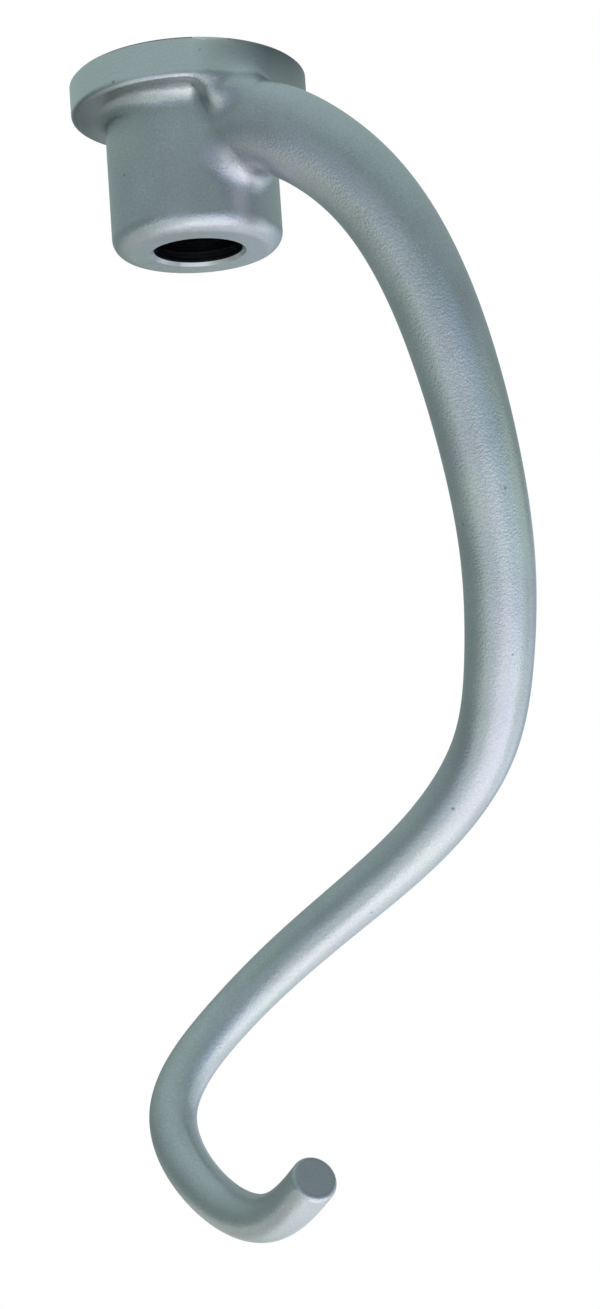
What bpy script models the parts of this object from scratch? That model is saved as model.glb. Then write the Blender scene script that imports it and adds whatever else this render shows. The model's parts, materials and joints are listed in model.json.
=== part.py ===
"""Dough hook for a planetary stand mixer: a one-piece aluminium casting with a steel shaft sleeve.

The hub hangs on the mixer's agitator shaft. A cross pin in the shaft drops down the entry groove at
the back of the bore and turns into the side window, which carries the hook and drives it round.
The arm leaves the hub at the front, swings out, and winds down and inwards under the hub.

Frame: the origin is on the shaft's axis at the hub's top face, +Z is up along the shaft, and the
arm leaves the hub towards -Y and +X. Driving dimensions are in millimetres.
"""
import math

import bmesh
import bpy
import numpy as np

MM = 0.001

# Shaft interface
SHAFT_BORE_RADIUS = 11.9
SLEEVE_OUTER_RADIUS = 14.0
SLEEVE_LENGTH = 43.0
SLEEVE_CHAMFER = 0.7
SEAT_GAP = 0.3
LIP_BORE_RADIUS = 12.1
BORE_MOUTH_CHAMFER = 0.9

# Pin groove and window, on the +Y side of the bore
PIN_GROOVE_WIDTH = 6.8
PIN_GROOVE_REACH = 17.8
PIN_WINDOW_HEIGHT = 7.2
PIN_WINDOW_Z = -21.0
PIN_WINDOW_TURN = 38.0

# Hub
FLANGE_RADIUS = 32.2
FLANGE_HEIGHT = 9.6
FLANGE_TOP_CHAMFER = 0.5
FLANGE_LOWER_ROUND = 1.6
BOSS_RADIUS = 23.2
HUB_HEIGHT = 47.2
BOSS_FILLET = 3.0
BOSS_LOWER_ROUND = 4.65
HUB_SEGMENTS = 64

# Arm: centre and radius of its round section at stations from the hub to the tip
ARM_STATIONS = (
    (5.3, -5.1, -18.6, 11.8),
    (20.0, -22.1, -21.8, 11.5),
    (41.9, -28.8, -38.3, 11.1),
    (56.5, -26.2, -61.2, 10.9),
    (65.2, -19.9, -85.6, 10.7),
    (71.0, -12.5, -111.1, 10.3),
    (74.1, -4.4, -136.1, 9.9),
    (73.4, 4.7, -162.4, 9.4),
    (68.5, 15.8, -185.9, 8.8),
    (53.0, 26.8, -207.7, 8.1),
    (33.1, 37.4, -224.5, 7.6),
    (11.9, 45.1, -240.6, 7.3),
    (-8.1, 45.7, -257.9, 6.9),
    (-24.2, 35.9, -281.1, 6.7),
    (-14.4, 16.8, -300.2, 6.3),
    (2.1, -6.8, -303.2, 6.1),
    (15.1, -29.2, -289.7, 6.0),
)
ARM_RING_SPACING = 6.0
ARM_SIDES = 28
ROOT_FLARE = 4.0
ROOT_FLARE_LENGTH = 36.0
TIP_ROUND = 2.0

CUT_MARGIN = 4.0


def clear_scene():
    """Remove every object that is already in the file."""
    for obj in list(bpy.data.objects):
        bpy.data.objects.remove(obj, do_unlink=True)


def metal(name, colour, roughness):
    """A metallic Principled material."""
    material = bpy.data.materials.new(name)
    material.use_nodes = True
    shader = material.node_tree.nodes["Principled BSDF"]
    shader.inputs["Base Color"].default_value = (*colour, 1.0)
    shader.inputs["Metallic"].default_value = 1.0
    shader.inputs["Roughness"].default_value = roughness
    return material


def new_object(name, mesh_data, material=None):
    """Turn a bmesh in millimetres into a smooth-shaded object in metres."""
    bmesh.ops.scale(mesh_data, vec=(MM, MM, MM), verts=mesh_data.verts)
    mesh = bpy.data.meshes.new(name)
    mesh_data.to_mesh(mesh)
    mesh_data.free()
    obj = bpy.data.objects.new(name, mesh)
    bpy.context.scene.collection.objects.link(obj)
    mesh.shade_smooth()
    mesh.set_sharp_from_angle(angle=math.radians(35))
    if material:
        mesh.materials.append(material)
    return obj


def bridge(mesh_data, lower, upper):
    """Join two closed rings of vertices with quads."""
    count = len(lower)
    for i in range(count):
        j = (i + 1) % count
        mesh_data.faces.new((lower[i], lower[j], upper[j], upper[i]))


def finish_faces(mesh_data):
    """Make every face of a closed mesh point outwards."""
    bmesh.ops.recalc_face_normals(mesh_data, faces=mesh_data.faces)


def arc(centre, radius, start, end, steps):
    """Points (r, z) on an arc, its angles in degrees from the r axis towards +z."""
    points = []
    for step in range(steps + 1):
        angle = math.radians(start + (end - start) * step / steps)
        points.append((centre[0] + radius * math.cos(angle), centre[1] + radius * math.sin(angle)))
    return points


def ring(mesh_data, radius, z, segments):
    """A level ring of vertices round the shaft axis."""
    angles = (2 * math.pi * i / segments for i in range(segments))
    return [mesh_data.verts.new((radius * math.cos(a), radius * math.sin(a), z)) for a in angles]


def turned_solid(profile, segments=HUB_SEGMENTS):
    """A solid turned from an (r, z) outline that runs from its top face to its bottom face."""
    mesh_data = bmesh.new()
    rings = [ring(mesh_data, radius, z, segments) for radius, z in profile]
    for upper, lower in zip(rings, rings[1:]):
        bridge(mesh_data, lower, upper)
    mesh_data.faces.new(rings[0])
    mesh_data.faces.new(rings[-1])
    finish_faces(mesh_data)
    return mesh_data


def turned_tube(profile, segments=HUB_SEGMENTS):
    """A hollow ring turned from a closed (r, z) outline."""
    mesh_data = bmesh.new()
    rings = [ring(mesh_data, radius, z, segments) for radius, z in profile]
    for upper, lower in zip(rings, rings[1:] + rings[:1]):
        bridge(mesh_data, lower, upper)
    finish_faces(mesh_data)
    return mesh_data


def box(low, high):
    """A box between two corners."""
    mesh_data = bmesh.new()
    bmesh.ops.create_cube(mesh_data, size=1.0)
    for vert in mesh_data.verts:
        for axis in range(3):
            vert.co[axis] = high[axis] if vert.co[axis] > 0 else low[axis]
    return mesh_data


def natural_spline(stations):
    """A natural cubic spline through the stations, as a function of the chord length from the first."""
    points = np.array(stations)
    steps = np.linalg.norm(np.diff(points[:, :3], axis=0), axis=1)
    knots = np.concatenate(([0.0], np.cumsum(steps)))
    count = len(points)
    matrix = np.eye(count)
    rhs = np.zeros_like(points)
    for i in range(1, count - 1):
        matrix[i, i - 1:i + 2] = steps[i - 1], 2 * (steps[i - 1] + steps[i]), steps[i]
        slope_after = (points[i + 1] - points[i]) / steps[i]
        slope_before = (points[i] - points[i - 1]) / steps[i - 1]
        rhs[i] = 6 * (slope_after - slope_before)
    bends = np.linalg.solve(matrix, rhs)

    def value(at):
        i = min(int(np.searchsorted(knots, at, side="right")) - 1, count - 2)
        h = steps[i]
        a = (knots[i + 1] - at) / h
        b = (at - knots[i]) / h
        bend = ((a**3 - a) * bends[i] + (b**3 - b) * bends[i + 1]) * h * h / 6
        return a * points[i] + b * points[i + 1] + bend

    return value, knots[-1]


def root_flare(distance):
    """Extra radius where the arm swells into the hub."""
    return ROOT_FLARE * max(0.0, 1.0 - distance / ROOT_FLARE_LENGTH)**2


def arm_sections():
    """Centre, axis and radius of each ring of the arm, closer together at the rounded tip.

    The rings' flat sides touch the true round section from outside.
    """
    spline, length = natural_spline(ARM_STATIONS)
    count = round((length - TIP_ROUND) / ARM_RING_SPACING)
    places = [(length - TIP_ROUND) * i / count for i in range(count + 1)]
    insets = [0.0] * len(places)
    for angle in (30, 60, 90):
        places.append(length - TIP_ROUND * (1 - math.sin(math.radians(angle))))
        insets.append(TIP_ROUND * (1 - math.cos(math.radians(angle))))
    sections = []
    for place, inset in zip(places, insets):
        station = spline(place)
        ahead = spline(min(place + 0.1, length))
        behind = spline(max(place - 0.1, 0.0))
        tangent = ahead[:3] - behind[:3]
        radius = (station[3] + root_flare(place) - inset) / math.cos(math.pi / ARM_SIDES)
        sections.append((station[:3], tangent / np.linalg.norm(tangent), radius))
    return sections


def swept_arm():
    """The round, tapering arm as a closed mesh, its rings carried along without twist."""
    mesh_data = bmesh.new()
    side = np.array((0.0, 0.0, 1.0))
    rings = []
    for centre, tangent, radius in arm_sections():
        side = side - tangent * side.dot(tangent)
        side /= np.linalg.norm(side)
        across = np.cross(tangent, side)
        verts = []
        for i in range(ARM_SIDES):
            angle = 2 * math.pi * i / ARM_SIDES
            offset = side * math.cos(angle) + across * math.sin(angle)
            verts.append(mesh_data.verts.new(centre + radius * offset))
        rings.append(verts)
    for before, after in zip(rings, rings[1:]):
        bridge(mesh_data, before, after)
    mesh_data.faces.new(rings[0])
    mesh_data.faces.new(rings[-1])
    finish_faces(mesh_data)
    return mesh_data


def hub_profile():
    """Outline of the solid hub, from the edge of its top face down to its bottom face."""
    flange_low = -FLANGE_HEIGHT
    top = [(FLANGE_RADIUS - FLANGE_TOP_CHAMFER, 0.0), (FLANGE_RADIUS, -FLANGE_TOP_CHAMFER)]
    rim_centre = (FLANGE_RADIUS - FLANGE_LOWER_ROUND, flange_low + FLANGE_LOWER_ROUND)
    rim = arc(rim_centre, FLANGE_LOWER_ROUND, 0, -90, 3)
    fillet_centre = (BOSS_RADIUS + BOSS_FILLET, flange_low - BOSS_FILLET)
    fillet = arc(fillet_centre, BOSS_FILLET, 90, 180, 4)
    foot_centre = (BOSS_RADIUS - BOSS_LOWER_ROUND, -HUB_HEIGHT + BOSS_LOWER_ROUND)
    foot = arc(foot_centre, BOSS_LOWER_ROUND, 0, -90, 5)
    return top + rim + fillet + foot


def stepped_bore():
    """Cutter for the sleeve's seat, the plain lip under it and the bore's mouth."""
    seat = SLEEVE_OUTER_RADIUS + SEAT_GAP
    seat_end = -SLEEVE_LENGTH - SEAT_GAP
    mouth = LIP_BORE_RADIUS + BORE_MOUTH_CHAMFER
    profile = [
        (seat, CUT_MARGIN),
        (seat, seat_end),
        (LIP_BORE_RADIUS, seat_end),
        (LIP_BORE_RADIUS, -HUB_HEIGHT + BORE_MOUTH_CHAMFER),
        (mouth, -HUB_HEIGHT),
        (mouth, -HUB_HEIGHT - CUT_MARGIN),
    ]
    return turned_solid(profile)


def pin_window():
    """Cutter for the pin's sideways run: a slot with round ends, cut in along the radius."""
    half = PIN_WINDOW_HEIGHT / 2
    outline = []
    for step in range(9):
        angle = math.radians(-90 + 180 * step / 8)
        outline.append((0.0, -half * math.cos(angle), half * math.sin(angle)))
    for step in range(1, 6):
        outline.append((PIN_WINDOW_TURN * step / 6, 0.0, half))
    for step in range(9):
        angle = math.radians(90 - 180 * step / 8)
        outline.append((PIN_WINDOW_TURN, half * math.cos(angle), half * math.sin(angle)))
    for step in range(5, 0, -1):
        outline.append((PIN_WINDOW_TURN * step / 6, 0.0, -half))
    mesh_data = bmesh.new()
    rings = []
    for along in (SHAFT_BORE_RADIUS / 2, BOSS_RADIUS + CUT_MARGIN):
        verts = []
        for turn, across, up in outline:
            angle = math.radians(90 - turn)
            x = along * math.cos(angle) + across * math.sin(angle)
            y = along * math.sin(angle) - across * math.cos(angle)
            verts.append(mesh_data.verts.new((x, y, PIN_WINDOW_Z + up)))
        rings.append(verts)
    bridge(mesh_data, rings[0], rings[1])
    mesh_data.faces.new(rings[0])
    mesh_data.faces.new(rings[1])
    finish_faces(mesh_data)
    return mesh_data


def groove():
    """Cutter for the pin's way down from the top face to the window."""
    half = PIN_GROOVE_WIDTH / 2
    return box((-half, SHAFT_BORE_RADIUS / 2, PIN_WINDOW_Z), (half, PIN_GROOVE_REACH, CUT_MARGIN))


def boolean(obj, other, operation):
    """Add an exact Boolean of one object with another, and put the other away as a guide."""
    modifier = obj.modifiers.new(other.name, "BOOLEAN")
    modifier.object = other
    modifier.operation = operation
    modifier.solver = "EXACT"
    other.hide_render = True
    other.display_type = "WIRE"


def pin_cutters():
    """The tools that cut the pin's groove and window, shared by the casting and the sleeve."""
    return [
        new_object("cut_pin_groove", groove()),
        new_object("cut_pin_window", pin_window()),
    ]


def make_hook_casting(cutters):
    """The one casting: flange, boss and arm, bored for the sleeve and cut for the pin."""
    material = metal("blasted_aluminium", (0.34, 0.36, 0.37), 0.48)
    casting = new_object("hook_casting", turned_solid(hub_profile()), material)
    boolean(casting, new_object("join_arm", swept_arm()), "UNION")
    boolean(casting, new_object("cut_bore", stepped_bore()), "DIFFERENCE")
    for cutter in cutters:
        boolean(casting, cutter, "DIFFERENCE")
    return casting


def make_bore_sleeve(cutters):
    """The turned steel sleeve that lines the bore from the top face down to the lip."""
    outer = SLEEVE_OUTER_RADIUS
    inner = SHAFT_BORE_RADIUS
    chamfer = SLEEVE_CHAMFER
    profile = [
        (inner + chamfer, 0.0),
        (outer, 0.0),
        (outer, -SLEEVE_LENGTH),
        (inner, -SLEEVE_LENGTH),
        (inner, -chamfer),
    ]
    material = metal("turned_steel", (0.52, 0.52, 0.53), 0.22)
    sleeve = new_object("bore_sleeve", turned_tube(profile), material)
    for cutter in cutters:
        boolean(sleeve, cutter, "DIFFERENCE")
    return sleeve


def main():
    clear_scene()
    cutters = pin_cutters()
    make_hook_casting(cutters)
    make_bore_sleeve(cutters)


main()
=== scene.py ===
"""Studio scene of the dough hook: one cast aluminium piece with a turned steel shaft sleeve."""
import json
import math

import bmesh
import bpy
import numpy as np
from mathutils import Matrix, Vector
from mathutils.kdtree import KDTree

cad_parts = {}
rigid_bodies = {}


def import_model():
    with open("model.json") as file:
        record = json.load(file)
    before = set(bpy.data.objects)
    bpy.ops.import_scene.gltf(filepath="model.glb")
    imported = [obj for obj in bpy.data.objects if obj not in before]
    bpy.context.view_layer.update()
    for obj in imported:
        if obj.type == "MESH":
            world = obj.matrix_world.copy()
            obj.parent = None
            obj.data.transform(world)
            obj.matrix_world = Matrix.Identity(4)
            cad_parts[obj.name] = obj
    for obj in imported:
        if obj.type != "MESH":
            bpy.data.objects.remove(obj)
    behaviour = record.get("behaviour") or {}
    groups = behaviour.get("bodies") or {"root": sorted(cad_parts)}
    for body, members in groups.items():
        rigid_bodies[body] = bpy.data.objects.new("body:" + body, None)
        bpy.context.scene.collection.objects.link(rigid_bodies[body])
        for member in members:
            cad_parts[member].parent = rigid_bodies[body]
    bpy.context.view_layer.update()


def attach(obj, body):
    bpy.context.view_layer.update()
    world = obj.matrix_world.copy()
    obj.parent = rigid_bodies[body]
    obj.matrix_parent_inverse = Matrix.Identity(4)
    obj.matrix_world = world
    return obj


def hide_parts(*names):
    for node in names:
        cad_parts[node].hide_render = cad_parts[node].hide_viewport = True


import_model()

MM = 0.001

# Hub, in millimetres; the origin is on the shaft's axis at the hub's top face
FLANGE_RADIUS = 32.2
FLANGE_HEIGHT = 9.5
FLANGE_SLANT = 1.0
FLANGE_THICK_SIDE = -70.0
FLANGE_LOWER_ROUND = 1.3
TOP_CHAMFER = 0.5
BOSS_RADIUS = 23.2
BOSS_LOWER_ROUND = 4.65
BOSS_FILLET = 3.0
HUB_HEIGHT = 47.2
TOP_STOCK = 2.0

# Shaft interface
SHAFT_BORE_RADIUS = 11.9
SLEEVE_OUTER_RADIUS = 14.0
SLEEVE_LENGTH = 43.0
SLEEVE_CHAMFER = 0.7
SEAT_RADIUS = 14.3
SEAT_DEPTH = 43.3
LIP_BORE_RADIUS = 12.1
BORE_MOUTH_CHAMFER = 0.9
PIN_GROOVE_WIDTH = 6.8
PIN_GROOVE_REACH = 17.8
PIN_WINDOW_HEIGHT = 7.2
PIN_WINDOW_Z = -21.0
PIN_WINDOW_TURN = 38.0

# Arm: centre and radius of its round section at stations from the hub to the tip
ARM_STATIONS = (
    (5.3, -5.1, -18.6, 11.8),
    (20.0, -22.1, -21.8, 11.5),
    (41.9, -28.8, -38.3, 11.1),
    (56.5, -26.2, -61.2, 10.9),
    (65.2, -19.9, -85.6, 10.7),
    (71.0, -12.5, -111.1, 10.3),
    (74.1, -4.4, -136.1, 9.9),
    (73.4, 4.7, -162.4, 9.4),
    (68.5, 15.8, -185.9, 8.8),
    (53.0, 26.8, -207.7, 8.1),
    (33.1, 37.4, -224.5, 7.6),
    (11.9, 45.1, -240.6, 7.3),
    (-8.1, 45.7, -257.9, 6.9),
    (-24.2, 35.9, -281.1, 6.7),
    (-14.4, 16.8, -300.2, 6.3),
    (2.1, -6.8, -303.2, 6.1),
    (15.1, -29.2, -289.7, 6.0),
)
ARM_SAMPLE_SPACING = 0.5
TIP_ROUND = 1.6

# Where the arm runs into the hub: its upper half is squarer, and its fillets grow towards the underside
ROOT_SQUARENESS = 4.0
ROOT_LENGTH = 44.0
ARM_SIDE_FILLET = 3.0
ARM_UNDER_FILLET = 6.5
ARM_FLANGE_CREASE = 0.8
BOSS_FRONT_FILLET = 5.2

# How the root changes: distances along the arm and below the top face, and azimuths in degrees round the hub
SQUARE_UNTIL = 8.0
UNDER_FILLET_DEPTH = (19, 32)
FRONT_FILLET_START = (-150, -112)
FRONT_FILLET_END = (20, 60)
CREASE_START = (-80, -62)
CREASE_END = (-10, 20)

# Shoulder that fills the corner between the arm's left flank, the boss and the flange's rim
SHOULDER_LEFT = 6.0
SHOULDER_RIGHT = 20.0
SHOULDER_REACH = 31.7
SHOULDER_LOW = -15.5
SHOULDER_ROUND = 2.4
SHOULDER_BLEND = 6.0

VOXEL = 0.65

# Where the casting's tone changes for painted highlight and painted shade, in millimetres: where each change
# starts, and where it is full
RIM_HIGHLIGHT_REACH = (31.1, 31.8)
RIM_HIGHLIGHT_Z = (-10.0, -9.0)
TOP_EDGE_SHADE_REACH = (31.3, 31.7)
FLANGE_SHADE_X = (3.0, 22.0)
FLANGE_SHADE_Y = (12.0, -4.0)
FLANGE_SHADE_Z = (-11.5, -1.0)
FLANGE_Z = (-12.5, -10.5)
UNDERSIDE_SHADE_X = (-13.0, -29.0)
UNDERSIDE_SHADE_Z = (-8.0, -9.2)
UNDERSIDE_Z = (-14.5, -12.0)
END_FACE_DEPTH = (-0.6, -0.2)
END_FACE_REACH = (7.5, 7.0)

# Studio, in metres and degrees; azimuth 0 is +X, and the camera is at about azimuth -90
OBJECT_MIDDLE = (0.02, 0.0, -0.15)
FLOOR_Z = -1.7
FLOOR_RADIUS = 3.2
FLOOR_GLOW = (0.2, 1.0)
FLOOR_FADE = (3.0, 3.5)
SOFTBOX_SIZE = 1.2
SOFTBOX_DISTANCE = 0.9
WORLD_BRIGHTNESS = (0.55, 0.345, 0.73)
WORLD_TINT = (0.83, 1.04, 1.04)
SOFTBOXES = (
    ("box_front_right", -55, -60, 0.59, (1.08, 0.98, 1.01)),
    ("box_right", 6, -25, 0.49, (0.90, 1.02, 1.02)),
    ("box_front", -112, -17, 0.18, (0.95, 1.0, 1.4)),
    ("box_below", 63, -82, 0.56, (0.95, 1.0, 1.09)),
    ("box_low_right", -47, -29, 0.31, (0.77, 1.0, 1.45)),
    ("box_back_right", 58, -22, 0.30, (0.9, 1.0, 1.3)),
    ("box_low_left", -140, -56, 0.24, (0.75, 1.04, 0.92)),
)


class Arm:
    """The arm's centre line and radius, sampled evenly along a natural cubic spline."""

    def __init__(self, stations):
        points = np.array(stations)
        steps = np.linalg.norm(np.diff(points[:, :3], axis=0), axis=1)
        knots = np.concatenate(([0.0], np.cumsum(steps)))
        count = len(points)
        matrix = np.eye(count)
        rhs = np.zeros_like(points)
        for i in range(1, count - 1):
            matrix[i, i - 1:i + 2] = steps[i - 1], 2 * (steps[i - 1] + steps[i]), steps[i]
            slope_after = (points[i + 1] - points[i]) / steps[i]
            slope_before = (points[i] - points[i - 1]) / steps[i - 1]
            rhs[i] = 6 * (slope_after - slope_before)
        bends = np.linalg.solve(matrix, rhs)
        self.length = knots[-1]
        at = np.linspace(0.0, self.length, round(self.length / ARM_SAMPLE_SPACING) + 1)
        span = np.clip(np.searchsorted(knots, at, side="right") - 1, 0, count - 2)
        h = steps[span][:, None]
        a = (knots[span + 1] - at)[:, None] / h
        b = (at - knots[span])[:, None] / h
        bend = ((a**3 - a) * bends[span] + (b**3 - b) * bends[span + 1]) * h * h / 6
        values = a * points[span] + b * points[span + 1] + bend
        self.at = at
        self.centre = values[:, :3]
        self.radius = values[:, 3]
        tangent = np.gradient(self.centre, axis=0)
        self.tangent = tangent / np.linalg.norm(tangent, axis=1)[:, None]
        self.widening = np.gradient(self.radius) / np.linalg.norm(np.gradient(self.centre, axis=0), axis=1)
        self.tree = KDTree(len(self.centre))
        for i, point in enumerate(self.centre):
            self.tree.insert(point, i)
        self.tree.balance()

    def nearest(self, points):
        """Index of the sample nearest to each point."""
        find = self.tree.find
        return np.array([find(p)[1] for p in points])

    def distance(self, points, near):
        """Distance to the arm's surface, negative inside, with a flat tip with a round rim."""
        centre, tangent = self.centre[near], self.tangent[near]
        along = np.einsum("ij,ij->i", points - centre, tangent)
        radial = points - centre - along[:, None] * tangent
        upwards = np.array((0.0, 0.0, 1.0)) - tangent[:, 2:] * tangent
        upwards /= np.linalg.norm(upwards, axis=1)[:, None]
        height = np.maximum(np.einsum("ij,ij->i", radial, upwards), 0.0)
        level = np.sqrt(np.maximum((radial**2).sum(axis=1) - height**2, 0.0))
        rounding = smooth_step(self.at[near], SQUARE_UNTIL, ROOT_LENGTH)
        power = 2.0 + (ROOT_SQUARENESS - 2.0) * (1.0 - rounding)
        reach = (level**power + height**power)**(1.0 / power)
        side = reach - self.radius[near] - self.widening[near] * along
        past_tip = (points - self.centre[-1]) @ self.tangent[-1]
        before_root = -(points - self.centre[0]) @ self.tangent[0]
        near_root = near < len(self.at) // 8
        near_tip = near > len(self.at) * 7 // 8
        side = np.where(near_tip, rounded_overlap(side, past_tip, TIP_ROUND), side)
        return np.where(near_root, np.maximum(side, before_root), side)


def blend_union(first, second, radius):
    """Union of two distance fields with a concave fillet of that radius between them."""
    outside = np.maximum(radius, np.minimum(first, second))
    return outside - np.hypot(np.maximum(radius - first, 0), np.maximum(radius - second, 0))


def rounded_overlap(first, second, radius):
    """What two distance fields share, with a convex round of that radius where they cross."""
    return -blend_union(-first, -second, radius)


def rounded_disc(points, radius, low, high, edge):
    """Distance to an upright cylinder with rounded rims."""
    reach = np.hypot(points[:, 0], points[:, 1])
    out = reach - radius + edge
    up = np.abs(points[:, 2] - (low + high) / 2) - (high - low) / 2 + edge
    return np.hypot(np.maximum(out, 0), np.maximum(up, 0)) + np.minimum(np.maximum(out, up), 0) - edge


def smooth_step(value, start, end):
    """0 before start, 1 after end, and a smooth rise between them."""
    t = np.clip((value - start) / (end - start), 0, 1)
    return t * t * (3 - 2 * t)


def shoulder_distance(points):
    """Distance to the block under the flange's rim, flush with the rim, that the arm springs from."""
    across = np.maximum(SHOULDER_LEFT - points[:, 0], points[:, 0] - SHOULDER_RIGHT)
    out = np.maximum(np.hypot(points[:, 0], points[:, 1]) - SHOULDER_REACH, points[:, 1])
    up = np.maximum(SHOULDER_LOW - points[:, 2], points[:, 2])
    return rounded_overlap(rounded_overlap(across, out, SHOULDER_ROUND), up, SHOULDER_ROUND)


def casting_distance(arm, points, near):
    """Distance to the unmachined casting: flange, boss and arm run together with fillets."""
    thick_side = math.radians(FLANGE_THICK_SIDE)
    towards_thick = points[:, 0] * math.cos(thick_side) + points[:, 1] * math.sin(thick_side)
    underside = -FLANGE_HEIGHT - FLANGE_SLANT * towards_thick / FLANGE_RADIUS
    flange = rounded_disc(points, FLANGE_RADIUS, underside, TOP_STOCK, FLANGE_LOWER_ROUND)
    boss = rounded_disc(points, BOSS_RADIUS, -HUB_HEIGHT, TOP_STOCK, BOSS_LOWER_ROUND)
    limb = arm.distance(points, near)
    azimuth = np.degrees(np.arctan2(points[:, 1], points[:, 0]))
    crease = smooth_step(azimuth, *CREASE_START) * smooth_step(-azimuth, -CREASE_END[1], -CREASE_END[0])
    past_front = smooth_step(-azimuth, -FRONT_FILLET_END[1], -FRONT_FILLET_END[0])
    front = smooth_step(azimuth, *FRONT_FILLET_START) * past_front
    fillet = BOSS_FILLET + (BOSS_FRONT_FILLET - BOSS_FILLET) * front
    fillet = fillet + (ARM_FLANGE_CREASE - fillet) * crease
    under = smooth_step(-points[:, 2], *UNDER_FILLET_DEPTH)
    root_fillet = ARM_SIDE_FILLET + (ARM_UNDER_FILLET - ARM_SIDE_FILLET) * under
    limb = blend_union(limb, shoulder_distance(points), SHOULDER_BLEND)
    return blend_union(blend_union(boss, limb, root_fillet), flange, fillet)


def bridge(mesh_data, lower, upper):
    """Join two closed rings of vertices with quads."""
    count = len(lower)
    for i in range(count):
        j = (i + 1) % count
        mesh_data.faces.new((lower[i], lower[j], upper[j], upper[i]))


def level_ring(mesh_data, radius, z, segments):
    """A level ring of vertices round the shaft's axis."""
    angles = (2 * math.pi * i / segments for i in range(segments))
    return [mesh_data.verts.new((radius * math.cos(a), radius * math.sin(a), z)) for a in angles]


def turned(mesh_data, profile, segments, hollow=False):
    """Add a solid, or a hollow ring, turned from an (r, z) outline."""
    rings = [level_ring(mesh_data, radius, z, segments) for radius, z in profile]
    for upper, lower in zip(rings, rings[1:]):
        bridge(mesh_data, lower, upper)
    if hollow:
        bridge(mesh_data, rings[0], rings[-1])
    else:
        mesh_data.faces.new(rings[0])
        mesh_data.faces.new(rings[-1])


def add_box(mesh_data, low, high):
    """Add a box between two opposite corners."""
    cube = bmesh.ops.create_cube(mesh_data, size=1.0)
    for vert in cube["verts"]:
        for axis in range(3):
            vert.co[axis] = high[axis] if vert.co[axis] > 0 else low[axis]


def new_object(name, mesh_data):
    """Turn a bmesh in millimetres into an object in metres, with its faces outwards."""
    bmesh.ops.recalc_face_normals(mesh_data, faces=mesh_data.faces)
    bmesh.ops.scale(mesh_data, vec=(MM, MM, MM), verts=mesh_data.verts)
    mesh = bpy.data.meshes.new(name)
    mesh_data.to_mesh(mesh)
    mesh_data.free()
    obj = bpy.data.objects.new(name, mesh)
    bpy.context.scene.collection.objects.link(obj)
    return obj


def apply_modifiers(obj):
    """Replace the object's mesh with its evaluated one."""
    depsgraph = bpy.context.evaluated_depsgraph_get()
    mesh = bpy.data.meshes.new_from_object(obj.evaluated_get(depsgraph))
    obj.modifiers.clear()
    obj.data = mesh


def voxel_remesh(obj):
    """Fuse the object's overlapping solids into one even skin."""
    remesh = obj.modifiers.new("fuse", "REMESH")
    remesh.mode = "VOXEL"
    remesh.voxel_size = VOXEL * MM
    apply_modifiers(obj)


def rough_casting(arm):
    """Overlapping solids of the hub and the arm, fused by a voxel remesh into one skin."""
    mesh_data = bmesh.new()
    flange_outline = [
        (FLANGE_RADIUS, TOP_STOCK),
        (FLANGE_RADIUS, -FLANGE_HEIGHT),
        (BOSS_RADIUS + BOSS_FILLET, -FLANGE_HEIGHT),
        (BOSS_RADIUS, -FLANGE_HEIGHT - BOSS_FILLET),
        (BOSS_RADIUS, -HUB_HEIGHT + BOSS_LOWER_ROUND),
        (BOSS_RADIUS - BOSS_LOWER_ROUND, -HUB_HEIGHT),
    ]
    turned(mesh_data, flange_outline, 96)
    side = Vector((0, 0, 1))
    rings = []
    for i in range(0, len(arm.centre), 4):
        tangent = Vector(arm.tangent[i])
        side = (side - tangent * side.dot(tangent)).normalized()
        across = tangent.cross(side)
        ring = []
        for k in range(32):
            angle = 2 * math.pi * k / 32
            offset = side * math.cos(angle) + across * math.sin(angle)
            ring.append(mesh_data.verts.new(Vector(arm.centre[i]) + float(arm.radius[i]) * offset))
        rings.append(ring)
    for before, after in zip(rings, rings[1:]):
        bridge(mesh_data, before, after)
    mesh_data.faces.new(rings[0])
    mesh_data.faces.new(rings[-1])
    shoulder_low = (SHOULDER_LEFT + 1, -SHOULDER_REACH + 3, SHOULDER_LOW + 1)
    shoulder_high = (SHOULDER_RIGHT - 5, -SHOULDER_REACH / 2, -FLANGE_HEIGHT / 2)
    add_box(mesh_data, shoulder_low, shoulder_high)
    casting = new_object("dough_hook_casting", mesh_data)
    voxel_remesh(casting)
    return casting


def mesh_points(mesh):
    """The mesh's vertices in millimetres."""
    flat = np.empty(len(mesh.vertices) * 3, np.float32)
    mesh.vertices.foreach_get("co", flat)
    return flat.reshape(-1, 3).astype(float) / MM


def distance_and_slope(arm, points):
    """Distance of every point to the filleted casting, and the distance's gradient there."""
    reach = 0.01
    near = arm.nearest(points)
    here = casting_distance(arm, points, near)
    gradient = np.empty_like(points)
    for axis in range(3):
        shifted = points.copy()
        shifted[:, axis] += reach
        gradient[:, axis] = (casting_distance(arm, shifted, near) - here) / reach
    return here, gradient


def step_to_surface(arm, points):
    """One Newton step of every point towards the surface of the filleted casting."""
    here, gradient = distance_and_slope(arm, points)
    steepness = np.maximum((gradient**2).sum(axis=1), 0.25)
    step = np.clip(here / steepness, -1.0, 1.0)
    return points - step[:, None] * gradient


def relax(points, edges):
    """Move every point half way to the mean of its neighbours."""
    total = np.zeros_like(points)
    count = np.bincount(edges.ravel(), minlength=len(points))
    for axis in range(3):
        total[:, axis] += np.bincount(edges[:, 0], points[edges[:, 1], axis], len(points))
        total[:, axis] += np.bincount(edges[:, 1], points[edges[:, 0], axis], len(points))
    return (points + total / np.maximum(count, 1)[:, None]) / 2


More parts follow.
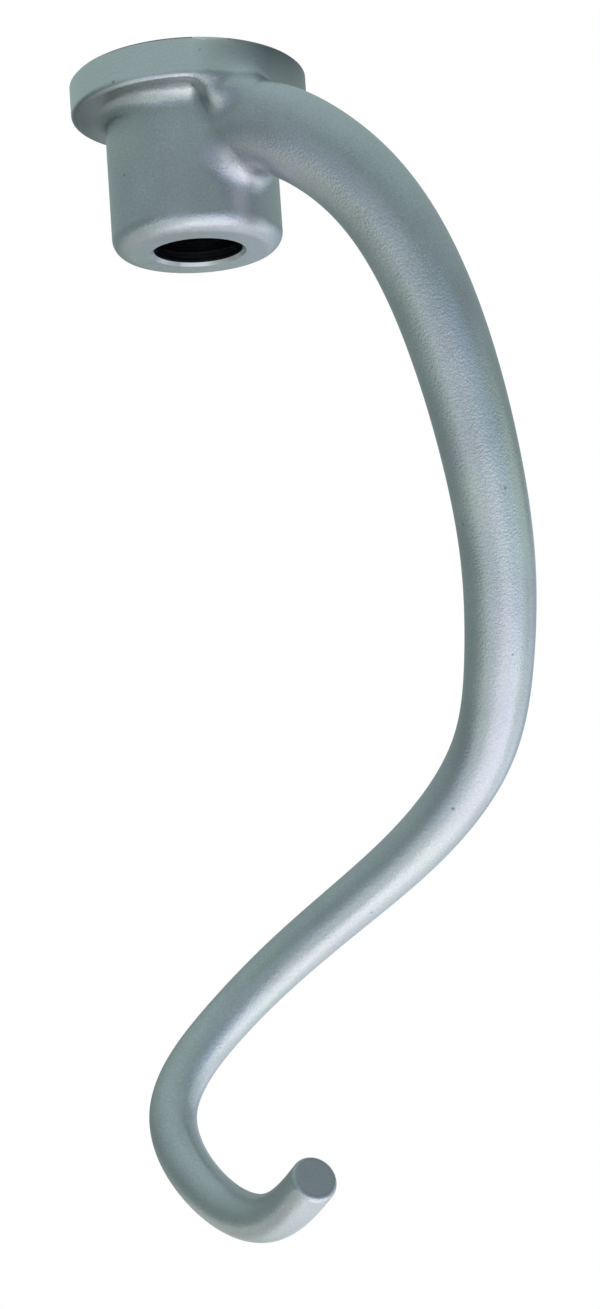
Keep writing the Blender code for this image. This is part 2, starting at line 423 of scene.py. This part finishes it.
def settle_on_surface(casting, arm):
    """Spread the vertices evenly over the exact surface of the filleted casting."""
    mesh = casting.data
    points = mesh_points(mesh)
    edges = np.empty(len(mesh.edges) * 2, np.int32)
    mesh.edges.foreach_get("vertices", edges)
    edges = edges.reshape(-1, 2)
    for _ in range(4):
        for _ in range(2):
            points = step_to_surface(arm, points)
        points = relax(points, edges)
    for _ in range(3):
        points = step_to_surface(arm, points)
    mesh.vertices.foreach_set("co", (points * MM).astype(np.float32).ravel())
    mesh.update()


def true_normals(casting, arm):
    """Shade the cast skin with the exact normals of the filleted surface; cut faces keep their own."""
    mesh = casting.data
    here, gradient = distance_and_slope(arm, mesh_points(mesh))
    exact = gradient / np.linalg.norm(gradient, axis=1)[:, None]
    corners = len(mesh.loops)
    vertex = np.empty(corners, np.int32)
    mesh.loops.foreach_get("vertex_index", vertex)
    normals = np.empty(corners * 3, np.float32)
    mesh.corner_normals.foreach_get("vector", normals)
    normals = normals.reshape(-1, 3)
    agrees = (normals * exact[vertex]).sum(axis=1) > 0.8
    on_skin = (np.abs(here[vertex]) < 0.02) & agrees
    normals[on_skin] = exact[vertex[on_skin]]
    mesh.normals_split_custom_set(normals.tolist())


def cutter(name, mesh_data):
    """A guide object that is only used to cut others."""
    obj = new_object(name, mesh_data)
    obj.hide_render = True
    obj.display_type = "WIRE"
    return obj


def boolean(obj, tool, operation):
    """Apply a Boolean of one closed mesh with another."""
    modifier = obj.modifiers.new(tool.name, "BOOLEAN")
    modifier.object = tool
    modifier.operation = operation
    modifier.solver = "MANIFOLD"
    apply_modifiers(obj)


def billet():
    """The stock that the turned top face and its chamfered rim are cut from."""
    mesh_data = bmesh.new()
    wide = 140.0
    edge = FLANGE_RADIUS - TOP_CHAMFER
    turned(mesh_data, [(edge, 0.0), (edge + wide, -wide), (edge + wide, -3 * wide)], 192)
    return mesh_data


def stepped_bore():
    """The sleeve's seat, the lip under it and the chamfered lower mouth."""
    mesh_data = bmesh.new()
    mouth = LIP_BORE_RADIUS + BORE_MOUTH_CHAMFER
    profile = [
        (SEAT_RADIUS, 4.0),
        (SEAT_RADIUS, -SEAT_DEPTH),
        (LIP_BORE_RADIUS, -SEAT_DEPTH),
        (LIP_BORE_RADIUS, -HUB_HEIGHT + BORE_MOUTH_CHAMFER),
        (mouth, -HUB_HEIGHT),
        (mouth, -HUB_HEIGHT - 4.0),
    ]
    turned(mesh_data, profile, 192)
    return mesh_data


def pin_groove():
    """The pin's way down from the top face."""
    mesh_data = bmesh.new()
    low = (-PIN_GROOVE_WIDTH / 2, SHAFT_BORE_RADIUS / 2, PIN_WINDOW_Z)
    high = (PIN_GROOVE_WIDTH / 2, PIN_GROOVE_REACH, 4.0)
    add_box(mesh_data, low, high)
    return mesh_data


def pin_window():
    """The pin's sideways run through the wall, with a round end at each side."""
    half = PIN_WINDOW_HEIGHT / 2
    outline = []
    for step in range(25):
        angle = math.radians(-90 + 180 * step / 24)
        outline.append((0.0, -half * math.cos(angle), half * math.sin(angle)))
    for step in range(1, 12):
        outline.append((PIN_WINDOW_TURN * step / 12, 0.0, half))
    for step in range(25):
        angle = math.radians(90 - 180 * step / 24)
        outline.append((PIN_WINDOW_TURN, half * math.cos(angle), half * math.sin(angle)))
    for step in range(11, 0, -1):
        outline.append((PIN_WINDOW_TURN * step / 12, 0.0, -half))
    mesh_data = bmesh.new()
    rings = []
    for along in (SHAFT_BORE_RADIUS / 2, BOSS_RADIUS + 4.0):
        ring = []
        for turn, across, up in outline:
            angle = math.radians(90 - turn)
            x = along * math.cos(angle) + across * math.sin(angle)
            y = along * math.sin(angle) - across * math.cos(angle)
            ring.append(mesh_data.verts.new((x, y, PIN_WINDOW_Z + up)))
        rings.append(ring)
    bridge(mesh_data, rings[0], rings[1])
    mesh_data.faces.new(rings[0])
    mesh_data.faces.new(rings[1])
    return mesh_data


def shade(obj, angle):
    """Smooth shading that keeps edges sharper than the angle."""
    obj.data.shade_smooth()
    obj.data.set_sharp_from_angle(angle=math.radians(angle))


def make_casting(arm, pin_tools):
    """The filleted casting, then its turned top, its bore and the pin's cuts."""
    casting = rough_casting(arm)
    settle_on_surface(casting, arm)
    voxel_remesh(casting)
    settle_on_surface(casting, arm)
    boolean(casting, cutter("billet", billet()), "INTERSECT")
    boolean(casting, cutter("bore_tool", stepped_bore()), "DIFFERENCE")
    for tool in pin_tools:
        boolean(casting, tool, "DIFFERENCE")
    shade(casting, 40)
    true_normals(casting, arm)
    casting.data.materials.clear()
    casting.data.materials.append(blasted_aluminium(arm))
    casting.data.materials.append(machined_aluminium())
    for face in casting.data.polygons:
        x, y, z = face.center / MM
        in_bore = math.hypot(x, y) < SEAT_RADIUS + 0.1 and z > -HUB_HEIGHT + 0.01
        face.material_index = int(in_bore or z > -TOP_CHAMFER)
    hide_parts("hook_casting")
    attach(casting, "root")
    return casting


def make_sleeve(pin_tools):
    """The steel sleeve in the bore."""
    mesh_data = bmesh.new()
    profile = [
        (SHAFT_BORE_RADIUS + SLEEVE_CHAMFER, 0.0),
        (SLEEVE_OUTER_RADIUS, 0.0),
        (SLEEVE_OUTER_RADIUS, -SLEEVE_LENGTH),
        (SHAFT_BORE_RADIUS, -SLEEVE_LENGTH),
        (SHAFT_BORE_RADIUS, -SLEEVE_CHAMFER),
    ]
    turned(mesh_data, profile, 192, hollow=True)
    sleeve = new_object("shaft_sleeve", mesh_data)
    for tool in pin_tools:
        boolean(sleeve, tool, "DIFFERENCE")
    shade(sleeve, 30)
    sleeve.data.materials.clear()
    sleeve.data.materials.append(turned_steel())
    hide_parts("bore_sleeve")
    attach(sleeve, "root")
    return sleeve


class Nodes:
    """Short calls for building a material's node tree."""

    def __init__(self, name):
        self.material = bpy.data.materials.new(name)
        self.material.use_nodes = True
        self.tree = self.material.node_tree
        self.shader = self.tree.nodes["Principled BSDF"]
        coordinates = self.tree.nodes.new("ShaderNodeTexCoord")
        self.position = coordinates.outputs["Object"]

    def noise(self, per_metre, detail=2.0, roughness=0.5):
        """Noise over the object with that many features to the metre."""
        node = self.tree.nodes.new("ShaderNodeTexNoise")
        node.inputs["Scale"].default_value = per_metre
        node.inputs["Detail"].default_value = detail
        node.inputs["Roughness"].default_value = roughness
        self.tree.links.new(self.position, node.inputs["Vector"])
        return node.outputs["Fac"]

    def along(self, axis):
        """The place along one of the object's axes."""
        parts = self.tree.nodes.new("ShaderNodeSeparateXYZ")
        self.tree.links.new(self.position, parts.inputs["Vector"])
        return parts.outputs[axis]

    def reach(self):
        """The distance from the shaft's axis."""
        flat = self.tree.nodes.new("ShaderNodeCombineXYZ")
        self.tree.links.new(self.along("X"), flat.inputs["X"])
        self.tree.links.new(self.along("Y"), flat.inputs["Y"])
        length = self.tree.nodes.new("ShaderNodeVectorMath")
        length.operation = "LENGTH"
        self.tree.links.new(flat.outputs["Vector"], length.inputs[0])
        return length.outputs["Value"]

    def rings(self, per_metre):
        """Fine tool marks round the shaft's axis, on level faces and on walls alike."""
        along = self.tree.nodes.new("ShaderNodeMath")
        along.operation = "ADD"
        self.tree.links.new(self.reach(), along.inputs[0])
        self.tree.links.new(self.along("Z"), along.inputs[1])
        node = self.tree.nodes.new("ShaderNodeTexNoise")
        node.noise_dimensions = "1D"
        node.inputs["Scale"].default_value = per_metre
        node.inputs["Detail"].default_value = 3.0
        self.tree.links.new(along.outputs["Value"], node.inputs["W"])
        return self.spread(node.outputs["Fac"], 0.3, 0.7)

    def product(self, first, second):
        """Two values multiplied."""
        node = self.tree.nodes.new("ShaderNodeMath")
        node.operation = "MULTIPLY"
        self.feed(first, node.inputs[0])
        self.feed(second, node.inputs[1])
        return node.outputs["Value"]

    def ramp(self, value, limits, low_value=0.0, high_value=1.0):
        """A rise between two places given in millimetres."""
        return self.spread(value, limits[0] * MM, limits[1] * MM, low_value, high_value)

    def painted_rim_highlight(self):
        """Where the surface is the flange's outer wall, which is lightened there as a painted highlight."""
        return self.product(self.ramp(self.reach(), RIM_HIGHLIGHT_REACH), self.ramp(self.along("Z"), RIM_HIGHLIGHT_Z))

    def flange_painted_shade(self):
        """How much painted shade darkens the flange: most on the arm's side of its rim, towards the top
        edge.
        """
        rising = self.ramp(self.along("Z"), FLANGE_SHADE_Z, 0.45, 1.0)
        on_flange = self.ramp(self.along("Z"), FLANGE_Z)
        rightwards = self.ramp(self.along("X"), FLANGE_SHADE_X, 0.0, 0.88)
        in_front = self.ramp(self.along("Y"), FLANGE_SHADE_Y)
        return self.product(self.product(rising, on_flange), self.product(rightwards, in_front))

    def painted_end_shade(self, point, direction):
        """How far the surface is into the thin slice that ends at the arm's flat end, where painted shade
        darkens it.
        """
        apart = self.tree.nodes.new("ShaderNodeVectorMath")
        apart.operation = "DISTANCE"
        self.tree.links.new(self.position, apart.inputs[0])
        apart.inputs[1].default_value = point
        close_by = self.ramp(apart.outputs["Value"], END_FACE_REACH)
        dot = self.tree.nodes.new("ShaderNodeVectorMath")
        dot.operation = "DOT_PRODUCT"
        self.tree.links.new(self.position, dot.inputs[0])
        dot.inputs[1].default_value = direction
        end = float(point @ direction) / MM
        limits = (end + END_FACE_DEPTH[0], end + END_FACE_DEPTH[1])
        return self.product(self.ramp(dot.outputs["Value"], limits, 0.0, 0.6), close_by)

    def underside_painted_shade(self):
        """How much painted shade darkens the flange's underside: most on the left, out towards the rim."""
        leftwards = self.ramp(self.along("X"), UNDERSIDE_SHADE_X, 0.0, 0.8)
        under = self.ramp(self.along("Z"), UNDERSIDE_SHADE_Z)
        on_flange = self.ramp(self.along("Z"), UNDERSIDE_Z)
        return self.product(self.product(under, on_flange), leftwards)

    def pores(self):
        """A few small dark pits, where scattered cells are both near their centre and rare."""
        cells = self.tree.nodes.new("ShaderNodeTexVoronoi")
        cells.inputs["Scale"].default_value = 170.0
        self.tree.links.new(self.position, cells.inputs["Vector"])
        pick = self.tree.nodes.new("ShaderNodeSeparateColor")
        self.tree.links.new(cells.outputs["Color"], pick.inputs["Color"])
        rare = self.spread(pick.outputs["Red"], 0.84, 0.86)
        return self.product(self.spread(cells.outputs["Distance"], 0.10, 0.04, 0.0, 0.65), rare)

    def spread(self, value, low, high, low_value=0.0, high_value=1.0):
        """Map a value from one range to another and clamp it."""
        node = self.tree.nodes.new("ShaderNodeMapRange")
        node.inputs["From Min"].default_value = low
        node.inputs["From Max"].default_value = high
        node.inputs["To Min"].default_value = low_value
        node.inputs["To Max"].default_value = high_value
        self.tree.links.new(value, node.inputs["Value"])
        return node.outputs["Result"]

    def mix(self, factor, first, second):
        """Mix two colours, each a colour or an output."""
        node = self.tree.nodes.new("ShaderNodeMix")
        node.data_type = "RGBA"
        colours = [socket for socket in node.inputs if socket.type == "RGBA"]
        self.feed(factor, node.inputs["Factor"])
        self.feed(first, colours[0])
        self.feed(second, colours[1])
        return next(socket for socket in node.outputs if socket.type == "RGBA")

    def feed(self, value, socket):
        """Link an output to a socket, or set the socket's own value."""
        if isinstance(value, bpy.types.NodeSocket):
            self.tree.links.new(value, socket)
        elif isinstance(value, tuple):
            socket.default_value = (*value, 1.0)
        else:
            socket.default_value = value

    def bump(self, height, distance, strength=1.0, under=None):
        """A bump whose height is in metres at full strength."""
        node = self.tree.nodes.new("ShaderNodeBump")
        node.inputs["Distance"].default_value = distance
        node.inputs["Strength"].default_value = strength
        self.tree.links.new(height, node.inputs["Height"])
        if under:
            self.tree.links.new(under, node.inputs["Normal"])
        return node.outputs["Normal"]


def blasted_aluminium(arm):
    """Satin, bead-blasted cast aluminium: fine grain, a faint mottle and a few pores, with painted shade on
    the flange and the arm's flat end and a painted highlight on the flange's wall.
    """
    nodes = Nodes("blasted_aluminium")
    mottle = nodes.spread(nodes.noise(60, 3), 0.35, 0.65)
    cast = nodes.spread(nodes.noise(26, 2), 0.38, 0.62)
    grain = nodes.spread(nodes.noise(1500, 3, 0.6), 0.3, 0.7)
    speckle = nodes.spread(nodes.noise(1900, 3, 0.6), 0.32, 0.68, 0.42, 0.0)
    cool = nodes.mix(mottle, (0.455, 0.465, 0.500), (0.495, 0.510, 0.545))
    green = nodes.mix(mottle, (0.465, 0.505, 0.495), (0.515, 0.550, 0.535))
    tone = nodes.mix(cast, cool, green)
    tone = nodes.mix(speckle, tone, (0.28, 0.29, 0.29))
    # painted highlight: the flange's outer wall is lightened
    tone = nodes.mix(nodes.product(nodes.painted_rim_highlight(), 0.6), tone, (0.72, 0.75, 0.75))
    # painted shade: the flange darkens on the arm's side, towards its top edge
    tone = nodes.mix(nodes.flange_painted_shade(), tone, (0.10, 0.11, 0.125))
    # painted shade: the flange's underside darkens on the left
    tone = nodes.mix(nodes.underside_painted_shade(), tone, (0.07, 0.08, 0.085))
    # painted shade: the arm's flat end is darkened
    tone = nodes.mix(nodes.painted_end_shade(arm.centre[-1] * MM, arm.tangent[-1]), tone, (0.20, 0.19, 0.23))
    tone = nodes.mix(nodes.pores(), tone, (0.06, 0.06, 0.06))
    nodes.feed(tone, nodes.shader.inputs["Base Color"])
    nodes.shader.inputs["Metallic"].default_value = 1.0
    nodes.feed(nodes.spread(mottle, 0, 1, 0.27, 0.32), nodes.shader.inputs["Roughness"])
    coarse = nodes.bump(nodes.noise(260, 2), 0.0003, 0.14)
    nodes.feed(nodes.bump(grain, 0.00008, 0.55, coarse), nodes.shader.inputs["Normal"])
    return nodes.material


def machined_aluminium():
    """Turned aluminium: fine rings round the shaft's axis, and painted shade that darkens the flange's top
    edge.
    """
    nodes = Nodes("machined_aluminium")
    rings = nodes.rings(1100)
    tone = nodes.mix(nodes.noise(120, 2), (0.30, 0.31, 0.33), (0.40, 0.41, 0.43))
    # painted shade: the flange's top edge is darkened
    edge = nodes.ramp(nodes.reach(), TOP_EDGE_SHADE_REACH)
    tone = nodes.mix(nodes.product(edge, 0.8), tone, (0.06, 0.065, 0.08))
    nodes.feed(tone, nodes.shader.inputs["Base Color"])
    nodes.shader.inputs["Metallic"].default_value = 1.0
    nodes.feed(nodes.spread(rings, 0, 1, 0.16, 0.26), nodes.shader.inputs["Roughness"])
    nodes.feed(nodes.bump(rings, 0.00002, 0.5), nodes.shader.inputs["Normal"])
    return nodes.material


def turned_steel():
    """Turned steel, coloured dark, with fine rings."""
    nodes = Nodes("turned_steel")
    rings = nodes.rings(1300)
    tone = nodes.mix(nodes.noise(150, 2), (0.09, 0.09, 0.10), (0.15, 0.15, 0.165))
    nodes.feed(tone, nodes.shader.inputs["Base Color"])
    nodes.shader.inputs["Metallic"].default_value = 1.0
    nodes.feed(nodes.spread(rings, 0, 1, 0.2, 0.3), nodes.shader.inputs["Roughness"])
    nodes.feed(nodes.bump(rings, 0.00002, 0.5), nodes.shader.inputs["Normal"])
    return nodes.material


def make_camera():
    """A camera a little below the hub's level, looking slightly up and rolled a few degrees."""
    right = Vector((0.9976, 0.0056, -0.0683))
    up = Vector((0.0685, -0.0809, 0.9944))
    back = right.cross(up)
    matrix = Matrix((right, up, back)).transposed().to_4x4()
    matrix.translation = Vector((0.0200, -0.5053, -0.1994))
    data = bpy.data.cameras.new("camera")
    data.lens = 52.25
    camera = bpy.data.objects.new("camera", data)
    camera.matrix_world = matrix
    bpy.context.scene.collection.objects.link(camera)
    bpy.context.scene.camera = camera


def make_world():
    """A plain studio: dim at the horizon, brighter above, and pure white where the camera sees it."""
    world = bpy.data.worlds.new("studio")
    world.use_nodes = True
    tree = world.node_tree
    seen = tree.nodes["Background"]
    seen.inputs["Color"].default_value = (1, 1, 1, 1)
    direction = tree.nodes.new("ShaderNodeTexCoord")
    parts = tree.nodes.new("ShaderNodeSeparateXYZ")
    tree.links.new(direction.outputs["Generated"], parts.inputs["Vector"])
    height = tree.nodes.new("ShaderNodeMapRange")
    height.inputs["From Min"].default_value = -1.0
    tree.links.new(parts.outputs["Z"], height.inputs["Value"])
    ramp = tree.nodes.new("ShaderNodeValToRGB")
    ramp.color_ramp.elements.new(0.5)
    for element, brightness in zip(ramp.color_ramp.elements, WORLD_BRIGHTNESS):
        element.color = [brightness * tint for tint in WORLD_TINT] + [1]
    tree.links.new(height.outputs["Result"], ramp.inputs["Fac"])
    lighting = tree.nodes.new("ShaderNodeBackground")
    tree.links.new(ramp.outputs["Color"], lighting.inputs["Color"])
    path = tree.nodes.new("ShaderNodeLightPath")
    mix = tree.nodes.new("ShaderNodeMixShader")
    tree.links.new(path.outputs["Is Camera Ray"], mix.inputs["Fac"])
    tree.links.new(lighting.outputs["Background"], mix.inputs[1])
    tree.links.new(seen.outputs["Background"], mix.inputs[2])
    tree.links.new(mix.outputs["Shader"], tree.nodes["World Output"].inputs["Surface"])
    bpy.context.scene.world = world
    bpy.context.scene.view_settings.view_transform = "Standard"


def make_softbox(name, azimuth, elevation, radiance, colour):
    """A round soft box in that direction from the object's middle, facing it."""
    data = bpy.data.lights.new(name, "AREA")
    data.shape = "DISK"
    data.size = SOFTBOX_SIZE
    data.color = colour
    data.energy = radiance * math.pi * math.pi * SOFTBOX_SIZE**2 / 4
    light = bpy.data.objects.new(name, data)
    a, e = math.radians(azimuth), math.radians(elevation)
    outwards = Vector((math.cos(e) * math.cos(a), math.cos(e) * math.sin(a), math.sin(e)))
    light.location = Vector(OBJECT_MIDDLE) + outwards * SOFTBOX_DISTANCE
    light.rotation_euler = outwards.to_track_quat("Z", "Y").to_euler()
    light.visible_camera = False
    bpy.context.scene.collection.objects.link(light)


def make_floor():
    """A round pale floor, well below the hanging hook, that runs out into the white of the backdrop."""
    mesh_data = bmesh.new()
    bmesh.ops.create_circle(mesh_data, cap_ends=True, segments=96, radius=FLOOR_RADIUS)
    bmesh.ops.translate(mesh_data, vec=(0, 0, FLOOR_Z), verts=mesh_data.verts)
    mesh = bpy.data.meshes.new("floor")
    mesh_data.to_mesh(mesh)
    mesh_data.free()
    nodes = Nodes("pale_floor")
    nodes.shader.inputs["Base Color"].default_value = (0.97, 0.84, 0.84, 1)
    nodes.shader.inputs["Roughness"].default_value = 0.8
    reach = nodes.tree.nodes.new("ShaderNodeVectorMath")
    reach.operation = "LENGTH"
    nodes.tree.links.new(nodes.position, reach.inputs[0])
    glow = nodes.tree.nodes.new("ShaderNodeEmission")
    fade = nodes.tree.nodes.new("ShaderNodeMixShader")
    nodes.feed(nodes.spread(reach.outputs["Value"], *FLOOR_FADE, *FLOOR_GLOW), fade.inputs["Fac"])
    nodes.tree.links.new(nodes.shader.outputs["BSDF"], fade.inputs[1])
    nodes.tree.links.new(glow.outputs["Emission"], fade.inputs[2])
    nodes.tree.links.new(fade.outputs["Shader"], nodes.tree.nodes["Material Output"].inputs["Surface"])
    mesh.materials.append(nodes.material)
    floor = bpy.data.objects.new("floor", mesh)
    bpy.context.scene.collection.objects.link(floor)


arm = Arm(ARM_STATIONS)
pin_tools = [cutter("groove_tool", pin_groove()), cutter("window_tool", pin_window())]
make_casting(arm, pin_tools)
make_sleeve(pin_tools)
for tool in [o for o in bpy.data.objects if o.hide_render and o.display_type == "WIRE"]:
    bpy.data.objects.remove(tool)
make_camera()
make_world()
for softbox in SOFTBOXES:
    make_softbox(*softbox)
make_floor()
